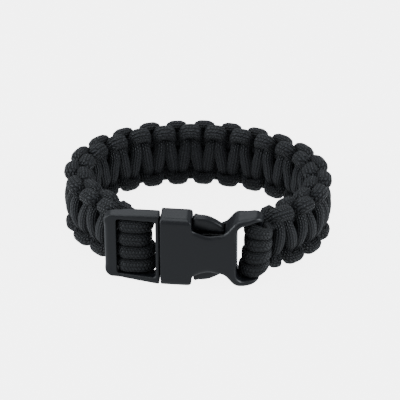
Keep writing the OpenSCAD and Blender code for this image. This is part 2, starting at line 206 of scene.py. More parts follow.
class Course:
    """Where the band and the buckle's bars run, from the same values as the CAD model."""

    def __init__(self, scene):
        band, cord, buckle = scene.bracelet_band, scene.bracelet_cord, scene.bracelet_buckle
        self.band, self.cord, self.buckle = band, cord, buckle
        self.angles = [FEMALE_END + i for i in range(int(MALE_END - FEMALE_END) + 1)]
        self.lengths = [0.0]
        for angle in self.angles[:-1]:
            self.lengths.append(self.lengths[-1] + (self.middle(angle + 1) - self.middle(angle)).length)
        self.length = self.lengths[-1]
        self.knots = 2 * round(self.length / band.pitch / 2)
        self.pitch = self.length / self.knots
        whole = buckle.frame_length + buckle.seam + buckle.housing_length
        self.seam_x = buckle.frame_length + buckle.seam / 2 - whole / 2 - buckle.left
        self.buckle_y = -FRONT_SHARE * band.loop_width / 2
        self.buckle_mid = buckle.height / 2
        # The CAD model is centred over its origin, so its own boxes say how far it was moved.
        frame_x = self.seam_x - buckle.seam / 2 - buckle.frame_length
        self.moved = Vector((
            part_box("male_half")[0].x - frame_x,
            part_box("female_half")[0].y - (self.buckle_y - buckle.housing_thickness / 2),
            0,
        ))

    def middle(self, angle):
        """The point on the band's middle line at an angle, in the CAD model's own place."""
        reach = self.band.loop_width / 2 * outline_share(angle)
        return Vector((reach * math.cos(math.radians(angle)), reach * math.sin(math.radians(angle)), 0))

    def tangent(self, angle):
        """The direction of the band at an angle."""
        return (self.middle(angle + 0.5) - self.middle(angle - 0.5)).normalized()

    def angle(self, s):
        """The angle at a length along the band."""
        i = max(0, min(len(self.lengths) - 2, bisect_right(self.lengths, s) - 1))
        return self.angles[i] + (s - self.lengths[i]) / (self.lengths[i + 1] - self.lengths[i])

    def level(self, s):
        """Height of the band's middle over the surface it lies on."""
        low = self.band.height / 2
        return self.buckle_mid + (low - self.buckle_mid) * ease(min(s, self.length - s) / self.band.rise)

    def place(self, s, across, out):
        """The point at a length along the band, a height across it and a distance outwards from its middle."""
        angle = self.angle(s)
        along = self.tangent(angle)
        outward = Vector((along.y, -along.x, 0))
        return self.middle(angle) + self.moved + outward * out + Vector((0, 0, self.level(s) + across))

    def turn(self, s, vector):
        """A vector given as (along, across, outward), turned into the model's frame."""
        along = self.tangent(self.angle(s))
        return along * vector[0] + Vector((0, 0, 1)) * vector[1] + Vector((along.y, -along.x, 0)) * vector[2]


# ---------------- cords


def smooth_through(rows, step):
    """Joins rows of numbers that start with a place (three numbers) by a smooth curve, cut into short steps."""
    knots = [0.0]
    for a, b in zip(rows, rows[1:]):
        knots.append(knots[-1] + math.dist(a[:3], b[:3]))

    def slope(i, j):
        if i == 0:
            return (rows[1][j] - rows[0][j]) / (knots[1] - knots[0])
        if i == len(rows) - 1:
            return (rows[i][j] - rows[i - 1][j]) / (knots[i] - knots[i - 1])
        before, after = knots[i] - knots[i - 1], knots[i + 1] - knots[i]
        return (
            (rows[i][j] - rows[i - 1][j]) / before * after + (rows[i + 1][j] - rows[i][j]) / after * before
        ) / (before + after)

    result = []
    for i in range(len(rows) - 1):
        span = knots[i + 1] - knots[i]
        count = max(2, round(span / step))
        for k in range(count):
            t = k / count
            h = (2 * t**3 - 3 * t**2 + 1, (t**3 - 2 * t**2 + t) * span, 3 * t**2 - 2 * t**3, (t**3 - t**2) * span)
            result.append([
                h[0] * rows[i][j] + h[1] * slope(i, j) + h[2] * rows[i + 1][j] + h[3] * slope(i + 1, j)
                for j in range(len(rows[i]))
            ])
    result.append(list(rows[-1]))
    return result


def squared(angle, power):
    """A point on the rounded section of a cord that is pressed against its neighbours."""
    c, s = math.cos(angle), math.sin(angle)
    return math.copysign(abs(c) ** (2 / power), c), math.copysign(abs(s) ** (2 / power), s)


def sweep_cord(bm, rings, around, girth, tip, power=2.15):
    """Bends a grid into one closed cord.

    Each ring is (centre, half axis, other half axis, pull), and around is the number of sides of the cord. Both ends
    are rounded over the length tip. A higher power makes the section squarer.
    """
    uv_layer = bm.loops.layers.uv.get("UVMap") or bm.loops.layers.uv.new("UVMap")
    pull_layer = bm.verts.layers.float.get("pull") or bm.verts.layers.float.new("pull")
    start = (rings[0][0] - rings[1][0]).normalized()
    end = (rings[-1][0] - rings[-2][0]).normalized()
    caps = [(math.sin(math.radians(a)), math.cos(math.radians(a))) for a in (30, 60, 80, 90)]

    def capped(ring, ahead, out, size):
        return ring[0] + ahead * tip * out, ring[1] * size, ring[2] * size, 0

    first = [capped(rings[0], start, *cap) for cap in reversed(caps)]
    rings = first + rings + [capped(rings[-1], end, *cap) for cap in caps]
    run = [0.0]
    for a, b in zip(rings, rings[1:]):
        run.append(run[-1] + (b[0] - a[0]).length)
    grid = bmesh.ops.create_grid(bm, x_segments=around, y_segments=len(rings) - 1, size=1)
    step = {}
    for vert in grid["verts"]:
        step[vert] = (round((vert.co.x + 1) / 2 * around), round((vert.co.y + 1) / 2 * (len(rings) - 1)))
    for face in {f for v in grid["verts"] for f in v.link_faces}:
        face.smooth = True
        for loop in face.loops:
            i, j = step[loop.vert]
            loop[uv_layer].uv = (i / around, run[j] / girth)
    shape = [squared(2 * math.pi * i / around, power) for i in range(around)]
    for vert, (i, j) in step.items():
        centre, axis, other, pull = rings[j]
        x, y = shape[i % around]
        vert.co = centre + axis * x + other * y
        vert[pull_layer] = pull
    bmesh.ops.remove_doubles(bm, verts=grid["verts"], dist=1e-6)


def section_rings(course, rows):
    """Rings for sweep_cord, in the model's frame.

    Each row is (along, across, outward, one half axis and the other in the same three directions, pull).
    """
    centres = [course.place(*row[:3]) for row in rows]
    rings = []
    for k, row in enumerate(rows):
        ahead = (centres[min(k + 1, len(rows) - 1)] - centres[max(k - 1, 0)]).normalized()
        axes = []
        for part in (row[3:6], row[6:9]):
            axis = course.turn(row[0], part)
            size = axis.length
            axis -= ahead * axis.dot(ahead)
            axes.append(axis.normalized() * size)
        rings.append((centres[k], axes[0], axes[1], row[9]))
    return rings


def add_piece(name, bm, material):
    """Makes one mesh object that rides on the bracelet."""
    bmesh.ops.recalc_face_normals(bm, faces=bm.faces)
    mesh = bpy.data.meshes.new(name)
    bm.to_mesh(mesh)
    bm.free()
    mesh.materials.append(material)
    piece = bpy.data.objects.new(name, mesh)
    bpy.context.scene.collection.objects.link(piece)
    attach(piece, "root")
    return piece


# How far the knots have slid towards the frame: (share of the band's length, distance in knot pitches)
SLIDE = ((0.0, 0.0), (0.70, 0.0), (0.85, 0.15), (0.93, 0.4), (1.0, 0.5), (1.1, 0.5))
# Where a crossing bar dives under the edge loops: its height over the band's middle, and how far it has sunk there
BAR_END, BAR_SINK = 4.6 * MM, 0.3 * MM
# The cord's half axes there, as shares of those in the bar's middle: along the band, up and outwards, and its pull
END_WIDE, END_UP, END_OUT, BAR_END_PULL = 0.86, 0.35, 0.9, 0.3
# The legs between the bars and the edge loops: their height over the band's middle, and the cord's half axes there
LEG_UP, LEG_WIDE, LEG_DEEP = 6.7 * MM, 2.0 * MM, 2.5 * MM
# How far a bar leans along the band to each side, in knot pitches
BAR_LEAN = 0.16
# How far an edge loop lies over from the band's plane
LOOP_TILT = math.radians(36)
# Stations of an edge loop: (part, how far the cord has turned along the band, place along it in knot pitches)
LOOP_STATIONS = (("foot", 0.3, -0.58), ("flank", 0.8, -0.42), ("top", 1, 0), ("flank", 0.8, 0.42), ("foot", 0.3, 0.58))
# Where an edge loop leaves its legs: height over the band's middle, and distance outwards
LOOP_FOOT = (7.8 * MM, 1.25 * MM)
# The pull on an edge loop, on whose outside the stitches open wider than on slack cord (0)
LOOP_PULL = -0.5


def crowded(course, s):
    """Where a length along the band lies once the last knots have slid towards the frame."""
    share = s / course.length
    for (a, p), (b, q) in zip(SLIDE, SLIDE[1:]):
        if share <= b:
            return s + course.pitch * (p + (q - p) * max(0.0, share - a) / (b - a))
    return s


def strand_rows(course, face):
    """The course of one working strand, as rows for section_rings.

    It crosses the band on the outer (1) or inner (-1) face and turns back over the other face.
    """
    band, pitch = course.band, course.pitch
    back = -face
    wide, thick = band.bar_width / 2, band.bar_thickness / 2
    bar_out = band.thickness / 2 - band.loop_stand - thick
    lean = BAR_LEAN * pitch
    # The bars outside bulge more and are pulled tighter, and the loops on the inner face ride highest at the back.
    bulge, pulled, lift_most = (band.bulge, 0.8, 0.6 * MM) if face > 0 else (0.2 * band.bulge, 0.6, 0.35 * MM)
    rise, fall = math.cos(LOOP_TILT), math.sin(LOOP_TILT)
    girth, depth = band.loop_girth / 2, band.loop_depth / 2
    loop_out = band.thickness / 2 + band.proud - math.hypot(girth * rise, depth * fall)
    loop_up = band.height / 2 + band.proud - math.hypot(girth * fall, depth * rise)
    vary = random.Random(11 if face > 0 else 12)

    def off(share=1.0):
        """How far one knot differs from the next."""
        return vary.uniform(-1, 1) * band.slack * share

    rows = []

    def add(s, across, out, axis, other, pull):
        rows.append((crowded(course, s), across, out, *axis, *other, pull))

    def turn_back(side, sign, middle, turned, away, up, out):
        """One station of an edge loop.

        turned is how far the cord has turned along the band, and away the distance from the loop's middle. The cord
        is thinner towards its legs.
        """
        along = math.copysign(math.sqrt(1 - turned * turned), -away)
        size = depth * (0.64 + 0.36 * turned)
        axis = [sign * v for v in (along * size, -turned * side * rise * size, -turned * back * fall * size)]
        reach = girth * (0.84 + 0.16 * turned)
        other = (0, side * fall * reach, -back * rise * reach)
        add(middle + away, side * up, back * out, axis, other, LOOP_PULL)

    def edge_loop(side, sign, middle, stations, top, flank, early=0):
        """An edge loop, or half of one. top and flank are the (height, distance outwards) of its middle and sides."""
        places = {"foot": LOOP_FOOT, "flank": flank, "top": top}
        for part, turned, pitches in stations:
            turn_back(side, sign, middle, turned, pitches * pitch - (early if pitches < 0 else 0), *places[part])

    def bar_side(s, side, towards):
        """Where a bar dives under the edge loop on one side. towards is 1 before the bar's middle and -1 after it."""
        axis, other = (sign * wide * END_WIDE, 0, 0), (0, side * towards * thick * END_UP, face * thick * END_OUT)
        add(s, side * towards * BAR_END, face * (bar_out - BAR_SINK), axis, other, BAR_END_PULL)

    # The half loops at the ends, where the strand comes from the end cords and goes back to them
    end_flank = (loop_up - 0.3 * MM, loop_out)
    end_low, end_high = (loop_up - 1.8 * MM, loop_out - 0.6 * MM), (loop_up - 0.4 * MM, loop_out)
    # After its first bar the strand turns back a little early.
    first_early = 1.2 * MM
    sign = 1
    for k in range(course.knots):
        s = (k + 0.5) * pitch
        side = (1 if k % 2 == 0 else -1) * face
        if k == 0:
            edge_loop(side, -sign, 0, LOOP_STATIONS[2:], end_low, end_flank)
        shift = off(0.6)
        add(s + lean, side * LEG_UP, 0, (sign * LEG_WIDE, 0, 0), (0, side * LEG_DEEP, 0), 0)
        bar_side(s + lean + shift, side, 1)
        add(s + shift, off(), face * (bar_out + bulge), (sign * wide, 0, 0), (0, 0, face * thick), pulled)
        bar_side(s - lean + shift, side, -1)
        side = -side
        early = first_early if k == 0 else 0
        add(s - lean - early, side * LEG_UP, 0, (sign * LEG_WIDE, 0, 0), (0, side * LEG_DEEP, 0), 0)
        # The loop goes over the other face, round the legs of the other strand. The upper ones ride up at the back.
        lift = lift_most * math.sin(math.pi * s / course.length) ** 4 if side > 0 else 0
        up, out = loop_up + lift + off(), loop_out + off(0.6)
        mid = s + 0.5 * pitch + off(0.6)
        if k < course.knots - 1:
            edge_loop(side, sign, mid, LOOP_STATIONS, (up, out), (up - 0.15 * MM, out - 0.05 * MM), early)
        else:
            top = end_low if side > 0 else end_high
            edge_loop(side, sign, course.length, LOOP_STATIONS[:3], top, end_flank)
        sign = -sign
    return rows


# ---------------- finishes


def add_node(tree, kind, values=None, links=None, **settings):
    """Adds a node with its settings, its sockets' values and the outputs that feed it."""
    node = tree.nodes.new(kind)
    for key, value in settings.items():
        setattr(node, key, value)
    for key, value in (values or {}).items():
        node.inputs[key].default_value = value
    for key, output in (links or {}).items():
        tree.links.new(output, node.inputs[key])
    return node


def new_material(name):
    """An empty material and its shader, joined to the output."""
    material = bpy.data.materials.new(name)
    material.use_nodes = True
    tree = material.node_tree
    tree.nodes.clear()
    shader = add_node(tree, "ShaderNodeBsdfPrincipled")
    add_node(tree, "ShaderNodeOutputMaterial", links={"Surface": shader.outputs[0]})
    return material, tree, shader


def braided_nylon(scene):
    """Nylon cord with a braided sheath: ribs of slanted stitches along the cord, flatter where it is pulled tight."""
    if "Braided Nylon" in bpy.data.materials:
        return bpy.data.materials["Braided Nylon"]
    cord = scene.bracelet_cord
    material, tree, shader = new_material("Braided Nylon")

    def sums(operation, first, second=None, third=None, clamp=False):
        """One step of arithmetic on outputs and numbers."""
        terms = {i: v for i, v in enumerate((first, second, third)) if v is not None}
        links = {i: v for i, v in terms.items() if isinstance(v, bpy.types.NodeSocket)}
        values = {i: v for i, v in terms.items() if i not in links}
        node = add_node(tree, "ShaderNodeMath", values, links, operation=operation, use_clamp=clamp)
        return node.outputs[0]

    uv = add_node(tree, "ShaderNodeUVMap", uv_map="UVMap")
    part = add_node(tree, "ShaderNodeSeparateXYZ", links={0: uv.outputs[0]})
    ribs = sums("MULTIPLY", part.outputs[0], cord.yarns)
    across = sums("MULTIPLY_ADD", sums("FRACT", ribs), 2, -1)
    # Neighbouring ribs lean to opposite sides, and their stitches lie half a stitch apart.
    every_other = sums("FLOORED_MODULO", sums("FLOOR", ribs), 2)
    lean = sums("MULTIPLY", across, sums("MULTIPLY_ADD", every_other, 0.5, -0.25))
    # A real stitch is about 0.7 mm long. It is drawn 1 mm long, so that a picture of the whole bracelet still shows it.
    turns = math.pi * cord.diameter / cord.stitch
    phase = sums("ADD", sums("MULTIPLY_ADD", part.outputs[1], turns, lean), sums("MULTIPLY", every_other, 0.5))
    along = sums("MULTIPLY_ADD", sums("FRACT", phase), 2, -1)
    rib = sums("SUBTRACT", 1, sums("POWER", sums("ABSOLUTE", across), 2.5), clamp=True)
    yarn = sums("SUBTRACT", 1, sums("POWER", sums("ABSOLUTE", along), 3), clamp=True)
    pull = add_node(tree, "ShaderNodeAttribute", attribute_name="pull").outputs["Fac"]
    loose = sums("MULTIPLY_ADD", pull, -0.65, 1)
    stitch = sums("MULTIPLY", rib, sums("MULTIPLY_ADD", yarn, 0.85, 0.15))
    relief = sums("MULTIPLY_ADD", sums("SUBTRACT", stitch, 0.5), loose, 0.5)
    place = add_node(tree, "ShaderNodeTexCoord")
    # Wear and dust come in patches about 4 mm wide.
    wear = add_node(tree, "ShaderNodeTexNoise", {"Scale": 260, "Detail": 3}, {"Vector": place.outputs["Object"]})
    # Painted shade and highlight: the stitches' relief blends the tone from the painted shade in the grooves to the
    # yarn colour on the crests, and the wear noise varies it in patches.
    shade = sums("MULTIPLY", sums("MULTIPLY_ADD", wear.outputs[0], 0.5, 0.75), relief, clamp=True)
    tone = add_node(tree, "ShaderNodeMix", links={0: shade}, data_type="RGBA")
    # The mix node keeps one pair of sockets for each kind of value, so its colours are set by place.
    tone.inputs[6].default_value = (*cord.painted_shade_colour, 1)
    tone.inputs[7].default_value = (*cord.yarn_colour, 1)
    bump = add_node(tree, "ShaderNodeBump", {"Strength": 1.0, "Distance": 0.5 * MM}, {"Height": relief})
    tree.links.new(tone.outputs[2], shader.inputs["Base Color"])
    tree.links.new(bump.outputs[0], shader.inputs["Normal"])
    # The tops of the stitches are polished by wear, and no light comes back from between them.
    polish = {"From Min": 0.2, "From Max": 0.8, "To Min": 0.85, "To Max": 0.4}
    rough = add_node(tree, "ShaderNodeMapRange", polish, {"Value": relief})
    tree.links.new(rough.outputs[0], shader.inputs["Roughness"])
    shader.inputs["IOR"].default_value = 1.53
    shader.inputs["Specular IOR Level"].default_value = 0.28
    shader.inputs["Sheen Weight"].default_value = 0.04
    shader.inputs["Sheen Roughness"].default_value = 0.45
    return material


def moulded_acetal(scene):
    """Black acetal from a spark-eroded mould: an even satin face, with patches that handling has polished."""
    if "Moulded Acetal" in bpy.data.materials:
        return bpy.data.materials["Moulded Acetal"]
    material, tree, shader = new_material("Moulded Acetal")
    place = add_node(tree, "ShaderNodeTexCoord").outputs["Object"]
    # The grain of the mould is about 0.05 mm. It is drawn at 0.3 mm, which is the finest that a close view shows.
    grain = add_node(tree, "ShaderNodeTexNoise", {"Scale": 3000, "Detail": 2}, {"Vector": place})
    # Those patches are about 7 mm wide.
    cloud = add_node(tree, "ShaderNodeTexNoise", {"Scale": 140, "Detail": 4}, {"Vector": place})
    rough = add_node(tree, "ShaderNodeMapRange", {"To Min": 0.30, "To Max": 0.40}, {"Value": cloud.outputs[0]})
    base = scene.bracelet_buckle.plastic_colour
    tone = add_node(tree, "ShaderNodeMix", data_type="RGBA", links={0: cloud.outputs[0]})
    tone.inputs[6].default_value = (*[c * 0.85 for c in base], 1)
    tone.inputs[7].default_value = (*[c * 1.15 for c in base], 1)
    bump_size = {"Strength": 0.25, "Distance": 0.05 * MM}
    bump = add_node(tree, "ShaderNodeBump", bump_size, {"Height": grain.outputs[0]})
    tree.links.new(tone.outputs[2], shader.inputs["Base Color"])
    tree.links.new(rough.outputs[0], shader.inputs["Roughness"])
    tree.links.new(bump.outputs[0], shader.inputs["Normal"])
    shader.inputs["IOR"].default_value = 1.48
    shader.inputs["Specular IOR Level"].default_value = 0.38
    return material


def studio_paper(scene):
    """Matte background paper under even light, which glows so that shadows on it are faint."""
    material, tree, shader = new_material("Studio Paper")
    base = scene.bracelet_studio.floor_colour
    place = add_node(tree, "ShaderNodeTexCoord").outputs["Object"]
    # The paper's surface varies over about 25 mm.
    fibre = add_node(tree, "ShaderNodeTexNoise", {"Scale": 40, "Detail": 2}, {"Vector": place})
    rough = add_node(tree, "ShaderNodeMapRange", {"To Min": 0.9, "To Max": 1.0}, {"Value": fibre.outputs[0]})
    tree.links.new(rough.outputs[0], shader.inputs["Roughness"])
    shader.inputs["Base Color"].default_value = (*[c * 0.35 for c in base], 1)
    shader.inputs["Specular IOR Level"].default_value = 0.1
    shader.inputs["Emission Color"].default_value = (*base, 1)
    shader.inputs["Emission Strength"].default_value = 5.9
    return material


def bounce_paper():
    """Grey card that glows faintly, as a floor does in soft light."""
    material, _, shader = new_material("Grey Card")
    shader.inputs["Base Color"].default_value = (0.02, 0.02, 0.02, 1)
    shader.inputs["Emission Color"].default_value = (*DAYLIGHT, 1)
    shader.inputs["Emission Strength"].default_value = 0.95
    return material


# ---------------- operators


# Sides of a cord's section, of the core's cords, and steps along the core
CORD_SIDES, CORE_SIDES, CORE_STEPS = 18, 8, 90
# The core's cords, in millimetres: spacing, and half axes along the band's height and its thickness
CORE_SPACING, CORE_HIGH, CORE_DEEP = 2.8, 1.45, 1.5


class BRACELET_OT_weave(bpy.types.Operator):
    """Ties the two working strands round the core"""

    bl_idname = "bracelet.weave"
    bl_label = "Tie the Weave"

    def execute(self, context):
        course = Course(context.scene)
        girth = math.pi * course.cord.diameter
        for name, face in (("strand_over_outside", 1), ("strand_over_inside", -1)):
            rows = smooth_through(strand_rows(course, face), 0.75 * MM)
            bm = bmesh.new()
            sweep_cord(bm, section_rings(course, rows), CORD_SIDES, girth, 1.2 * MM)
            piece = add_piece(name, bm, braided_nylon(context.scene))
            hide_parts("weave")
        bm = bmesh.new()
        for k in range(END_CORDS):
            across = (k - (END_CORDS - 1) / 2) * CORE_SPACING * MM
            rows = [
                (course.length * i / CORE_STEPS, across, 0, 0, CORE_HIGH * MM, 0, 0, 0, CORE_DEEP * MM, 0)
                for i in range(CORE_STEPS + 1)
            ]
            sweep_cord(bm, section_rings(course, rows), CORE_SIDES, girth, 0.8 * MM)
        piece = add_piece("core_cords", bm, braided_nylon(context.scene))
        return {"FINISHED"}


def bent(p, q, r, count):
    """A quadratic curve from p to r that bends towards q, without p."""
    return [(1 - t) ** 2 * p + 2 * t * (1 - t) * q + t**2 * r for t in [k / count for k in range(1, count + 1)]]


def ring_round(middle, radius, begin, stop, count):
    """Points on a circle round a bar, from one angle to another."""
    angles = [math.radians(begin + (stop - begin) * k / count) for k in range(count + 1)]
    return [middle + radius * Vector((math.cos(a), math.sin(a), 0)) for a in angles]


def window_edge(course, frame_x, window_x):
    """The inner back edge of the frame's outer bar, seen from above, on the CAD model's arched and tapered plate."""
    buckle = course.buckle
    # The buckle's face follows a gentle arch, whose foremost point lies on the housing.
    arch_radius, arch_x = 260 * MM, course.seam_x + buckle.housing_length * 0.4
    # Behind the arch the plate goes from 2.5 mm thick near the seam to 1.1 mm at its outer end.
    share = (frame_x - window_x - 3 * MM) / (buckle.frame_length - 2 * MM)
    half = 2.5 * MM + (1.1 - 2.5) * MM * share
    return Vector((window_x, course.buckle_y + (window_x - arch_x) ** 2 / (2 * arch_radius) + half, 0))


def cord_route(course, end, slack, full):
    """The middle line of a cord that leaves the band's outer side, turns round a bar and comes back on the inner side.

    slack is how far it hangs away from its bar, and full how far its outer leg swells out beside the bar.
    """
    buckle, cord = course.buckle, course.cord
    gap, steps = FIT_GAP, 4
    turn = buckle.bar_radius + gap + cord.end_thickness / 2
    mouth_x, frame_x = course.seam_x + buckle.seam / 2, course.seam_x - buckle.seam / 2

    def port(angle, out, back):
        """Where a cord enters the band, on its outer (1) or inner (-1) side, or a little before that."""
        along = course.tangent(angle)
        outward = Vector((along.y, -along.x, 0))
        return course.middle(angle) + outward * out * (cord.end_thickness / 2 + gap) + along * back

    if end == "female":
        bar_x, bar_y = mouth_x + buckle.housing_length - buckle.bar_radius, course.buckle_y + buckle.end_bar_depth
        bar = Vector((bar_x, bar_y, 0))
        # From the bar's side towards the band, round its front and through the slot to its back
        ring = ring_round(bar, turn, -5, -215, 13)
        outer, inner = port(FEMALE_END, 1, -gap), port(FEMALE_END, -1, -gap)
        leg = bent(ring[0], port(FEMALE_END, 1, -1.8 * MM), outer, steps)[::-1]
        back = bent(ring[-1], port(FEMALE_END, -1, -3.2 * MM), inner, steps)
        into = course.tangent(FEMALE_END)
    else:
        window_x = frame_x - buckle.frame_length + buckle.outer_bar
        bar_x = frame_x - (buckle.frame_length - buckle.outer_bar + buckle.seam_bar) / 2 + buckle.bar_shift
        bar = Vector((bar_x, course.buckle_y + buckle.middle_bar_depth, 0))
        # From the bar's front, round its side towards the seam, to its back
        ring = ring_round(bar, turn, -95, 110, 14)
        outer, inner = port(MALE_END, 1, gap), port(MALE_END, -1, gap)
        # The cord is pressed against the outer bar where it dives behind it.
        corner = window_edge(course, frame_x, window_x)
        reach = cord.end_thickness / 2 - gap
        dive = ring_round(corner, reach, 60, -15, 4)
        face = Vector((corner.x + reach, ring[0].y, 0))
        leg = [outer] + bent(outer, port(MALE_END, 1, 1.4 * MM), dive[0], steps) + dive[1:]
        leg += bent(dive[-1], face, face + Vector((2.2, 0.1, 0)) * MM, steps)
        back = bent(ring[-1], port(MALE_END, -1, 3 * MM), inner, steps)
        into = -course.tangent(MALE_END)

    def hanging(point):
        """A slack cord hangs away from its bar."""
        aside = point.x - bar.x
        return point + Vector((slack * abs(aside) / turn, 0, 0)) if slack * aside > 0 else point

    def swollen(point):
        """A full cord swells out beside its bar, in front."""
        aside = point.x - bar.x
        return point + Vector((full * aside / turn, 0, 0)) if aside > 0 and point.y < bar.y else point

    ring = [hanging(point) for point in ring]
    if full:
        ring = [swollen(point) for point in ring]
        leg = leg[:1] + [point + Vector((full * k / (len(leg) - 1), 0, 0)) for k, point in enumerate(leg)][1:]
    # Both ends run a little way on into the band.
    run_on = into * 2.2 * MM
    return [leg[0] + run_on] + leg + ring + back + [back[-1] + run_on]


# The cords at each end, from the lowest to the highest: (slack, swell, inner, power). slack (towards the tail's
# opening or the seam) and swell (beside the bar) are in millimetres, inner is the height of the inner leg as a share
# of the height round the bar, and power says how square the cord's section is. spread is (steps of the route before
# the outer leg begins to spread, steps over which it does).
CORDS_AT_THE_ENDS = (
    {
        "name": "cords_at_female_end",
        "node": "female_end_cords",
        "end": "female",
        "spread": (4, 7),
        "cords": ((-1.9, -0.3, 0.76, 3.4), (-1.0, 0.2, 0.76, 3.4), (-0.3, 0.4, 0.76, 3.4), (-0.4, 0.4, 0.76, 3.4)),
    },
    {
        "name": "cords_at_male_end",
        "node": "male_end_cords",
        "end": "male",
        "spread": (0, 2),
        "cords": ((1.5, 0, 0.76, 3.4), (1.15, 0, 0.8, 2.6), (0.1, 0, 0.9, 2.6), (0.7, 0, 1.07, 2.6)),
    },
)
# Steps of the route over which an inner leg draws in
INNER_STEPS = 5
# The pull on a cord round its bar
END_PULL = 0.3


def end_cord_rings(course, end, spread, across, slack, swell, inner):
    """Rings for one end cord at a height across the band. It spreads where it leaves the band for its bar."""
    cord = course.cord
    route = cord_route(course, end, slack * MM, swell * MM)
    held, over = spread
    rows = []
    for i, point in enumerate(route):
        outer_share = ease((i - 1 - held) / over)
        inner_share = ease((len(route) - 2 - i) / INNER_STEPS)
        drawn = 1 + (cord.draw_in - 1) * (1 - outer_share) + (inner - 1) * (1 - inner_share)
        rows.append((point.x, point.y, course.buckle_mid + across * drawn, cord.end_height / 2 * drawn))
    rows = smooth_through(rows, 0.7 * MM)
    centres = [Vector(row[:3]) + course.moved for row in rows]
    rings = []
    for i, row in enumerate(rows):
        ahead = (centres[min(i + 1, len(rows) - 1)] - centres[max(i - 1, 0)]).normalized()
        normal = Vector((ahead.y, -ahead.x, 0)).normalized()
        rings.append((centres[i], normal * cord.end_thickness / 2, Vector((0, 0, row[3])), END_PULL))
    return rings


class BRACELET_OT_end_cords(bpy.types.Operator):
    """Loops four cords at each end of the band round the buckle's bars"""

    bl_idname = "bracelet.end_cords"
    bl_label = "Loop the End Cords"

    def execute(self, context):
        course = Course(context.scene)
        cord = course.cord
        for ending in CORDS_AT_THE_ENDS:
            name, node = ending["name"], ending["node"]
            bm = bmesh.new()
            for k, (slack, swell, inner, power) in enumerate(ending["cords"]):
                across = (k - (END_CORDS - 1) / 2) * (cord.end_height + FIT_GAP)
                rings = end_cord_rings(course, ending["end"], ending["spread"], across, slack, swell, inner)
                sweep_cord(bm, rings, CORD_SIDES, math.pi * cord.diameter, 0.6 * MM, power)
            piece = add_piece(name, bm, braided_nylon(context.scene))
            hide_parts(node)
        return {"FINISHED"}


# ---------------- the buckle's finish

# The release openings, from the buckle's middle height outwards, and their length
OPENING_LOW, OPENING_HIGH, OPENING_LENGTH = 4 * MM, 8.5 * MM, 10 * MM
# How far their rims stand up, in millimetres, and how round they are
RIM_RAISE, RIM_EDGE = 0.8, 1.6 * MM
# The release arms, from the buckle's middle height outwards: where they and their thumb pads begin
ARM_LOW, PAD_LOW = 5.5 * MM, 7.5 * MM
# How far the arms swell, in millimetres: all along, and what is added towards their ends
ARM_SWELL, ARM_SWELL_MORE = 0.8, 0.1
# How round a thumb pad is near the mouth, and past that
PAD_EDGE_NEAR, PAD_EDGE = 0.6 * MM, 1.8 * MM
# How far the frame's lower bar leans out at the seam, and how much of its outer end doesn't
LEAN, LEAN_BEGIN = 2.0 * MM, 5 * MM
# The share of a corner's old radius inside which nothing moves
CORNER_STILL = 0.3


def even_surface(context, piece, grid):
    """A piece's surface, rebuilt as an even grid."""
    remesh = piece.modifiers.new("Even Grid", "REMESH")
    remesh.mode = "VOXEL"
    remesh.voxel_size = grid
    context.view_layer.update()
    even = bpy.data.meshes.new_from_object(piece.evaluated_get(context.evaluated_depsgraph_get()))
    piece.modifiers.clear()
    bm = bmesh.new()
    bm.from_mesh(even)
    bpy.data.meshes.remove(even)
    return bm


def soften(bm, verts, radius, grid):
    """Rounds the edges among some vertices of an even grid to about a radius, whose square sets the rounds of it."""
    for _ in range(round((1.15 * radius / grid) ** 2)):
        bmesh.ops.smooth_vert(bm, verts=verts, factor=0.5, use_axis_x=True, use_axis_y=True, use_axis_z=True)


def tighten_corner(bm, corner, inward, old, new):
    """Draws a rounded corner of a plate in the XZ plane out to a smaller radius.

    corner is where its straight edges would meet, and inward the signs of X and Z that lead from it into the plate.
    """
    for vert in bm.verts:
        u, w = (vert.co.x - corner[0]) * inward[0], (vert.co.z - corner[1]) * inward[1]
        if u > old or w > old:
            continue
        reach = math.hypot(old - u, old - w)
        if reach < CORNER_STILL * old:
            continue
        c, s = (old - u) / reach, (old - w) / reach
        # Where the line from the old rounding's middle leaves the new outline: at its arc, or at a straight edge
        shift = old - new
        half = shift * (c + s)
        arc = half + math.sqrt(max(0.0, half * half - 2 * shift * shift + new * new))
        if old - arc * c > new:
            arc = old / s
        elif old - arc * s > new:
            arc = old / c
        grow = 1 + (arc / old - 1) * ease((reach / old - CORNER_STILL) / (1 - CORNER_STILL))
        vert.co.x = corner[0] + inward[0] * (old - reach * grow * c)
        vert.co.z = corner[1] + inward[1] * (old - reach * grow * s)


def raise_rims(bm, begin, middle_y, middle_z, grid):
    """Rounds the socket in front, behind its mouth, and makes the rims of the release openings stand up into them.

    begin is where the openings begin, and middle_y and middle_z are the buckle's middle.
    """

    def in_front(vert):
        """The rounding reaches further back along the tail's arms."""
        limit = middle_y - MM + max(0, vert.co.x - begin - 11 * MM) * 0.35
        return vert.co.x > begin and abs(vert.co.z - middle_z) > OPENING_LOW and vert.co.y < limit

    rim = [v for v in bm.verts if in_front(v)]
    face_y = min(v.co.y for v in rim)
    for vert in rim:
        off, high = vert.co.x - begin, abs(vert.co.z - middle_z)
        if 0 < off < OPENING_LENGTH and high < OPENING_HIGH:
            share = ease(off / MM) * ease((OPENING_LENGTH - off) / (3 * MM)) * ease((high - OPENING_LOW) / MM)
            share *= ease((vert.co.y - face_y) / MM) * ease((OPENING_HIGH - high) / MM)
            vert.co.z += math.copysign(RIM_RAISE * share * MM, vert.co.z - middle_z)
    soften(bm, rim, RIM_EDGE, grid)


